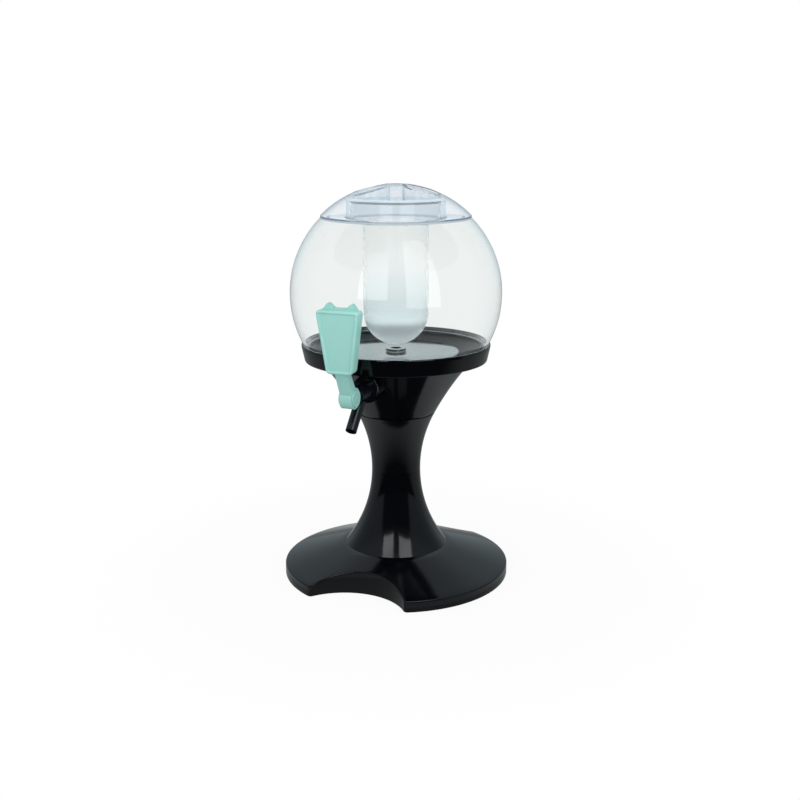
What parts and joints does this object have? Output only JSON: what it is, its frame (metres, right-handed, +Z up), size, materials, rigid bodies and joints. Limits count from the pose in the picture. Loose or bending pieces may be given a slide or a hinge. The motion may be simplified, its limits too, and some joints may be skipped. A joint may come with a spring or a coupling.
{
  "type": "drink dispenser",
  "caption": "Drink dispenser: clear globe tank on a black pedestal with glass cut-outs, green lever tap, domed clear lid with finger wells and a hanging ice core.",
  "frame": {"origin": "on the table, under the axis of the column", "axes": "+Z up, the tap faces -Y, +X to the right of someone who faces the tap from the front"},
  "size_m": [0.231, 0.2459, 0.3972],
  "materials": {
    "black_gloss": "high gloss black moulding",
    "tap_black": "gloss black moulding",
    "clear_tank": "clear, polished",
    "clear_lid": "clear with a faint blue-grey tint",
    "frosted_core": "milky clear",
    "mint": "satin mint green",
    "pad_rubber": "dull black",
    "screw_steel": "bright zinc",
    "spring_steel": "drawn wire",
    "seal_rubber": "milky silicone",
    "ring_rubber": "dull black",
    "white_fitting": "off-white"
  },
  "bodies": {
    "stand": {"base_shell": "black_gloss", "base_pads": "pad_rubber", "column": "black_gloss", "column_screws": "screw_steel"},
    "tank": {"funnel": "black_gloss", "bowl": "black_gloss", "bowl_screws": "screw_steel", "globe_gasket": "ring_rubber", "globe": "clear_tank", "drain_elbow": "tap_black", "drain_washer": "seal_rubber", "drain_nut": "white_fitting", "drain_hose": "seal_rubber", "hose_clips": "screw_steel", "tap_body": "tap_black", "tap_washer": "seal_rubber", "tap_nut": "white_fitting", "inlet_barb": "white_fitting", "bonnet": "tap_black", "stem_ring": "ring_rubber", "return_spring": "spring_steel"},
    "valve": {"plunger": "white_fitting", "plunger_seal": "ring_rubber"},
    "handle": {"lever": "mint", "pivot_pin": "mint"},
    "cover": {"lid_dome": "clear_lid", "lid_socket": "clear_lid", "lid_seal": "seal_rubber"},
    "chiller": {"core": "frosted_core", "core_seal": "seal_rubber"}
  },
  "joints": [
    {"name": "tank_twist", "type": "hinge", "parent": "stand", "child": "tank", "pos_m": [0, 0, 0.1695], "axis": [0, 0, 1], "range_deg": [0, 60]},
    {"name": "lever_pull", "type": "hinge", "parent": "tank", "child": "handle", "pos_m": [0, -0.1145, 0.2085], "axis": [1, 0, 0], "range_deg": [0, 40], "stiffness_Nm_per_rad": 0.06, "springref_deg": -34.38},
    {"name": "valve_push", "type": "slide", "parent": "tank", "child": "valve", "axis": [0, 1, 0], "range_m": [0, 0.00402], "deforming": ["return_spring"]},
    {"name": "lid_lift", "type": "slide", "parent": "tank", "child": "cover", "axis": [0, 0, 1], "range_m": [0, 0.15]},
    {"name": "core_twist", "type": "hinge", "parent": "cover", "child": "chiller", "pos_m": [0, 0, 0.37], "axis": [0, 0, 1], "range_deg": [0, 60]}
  ],
  "couplings": [
    {"joint": "valve_push", "follows": "lever_pull", "m_per_rad": 0.0057296}
  ]
}
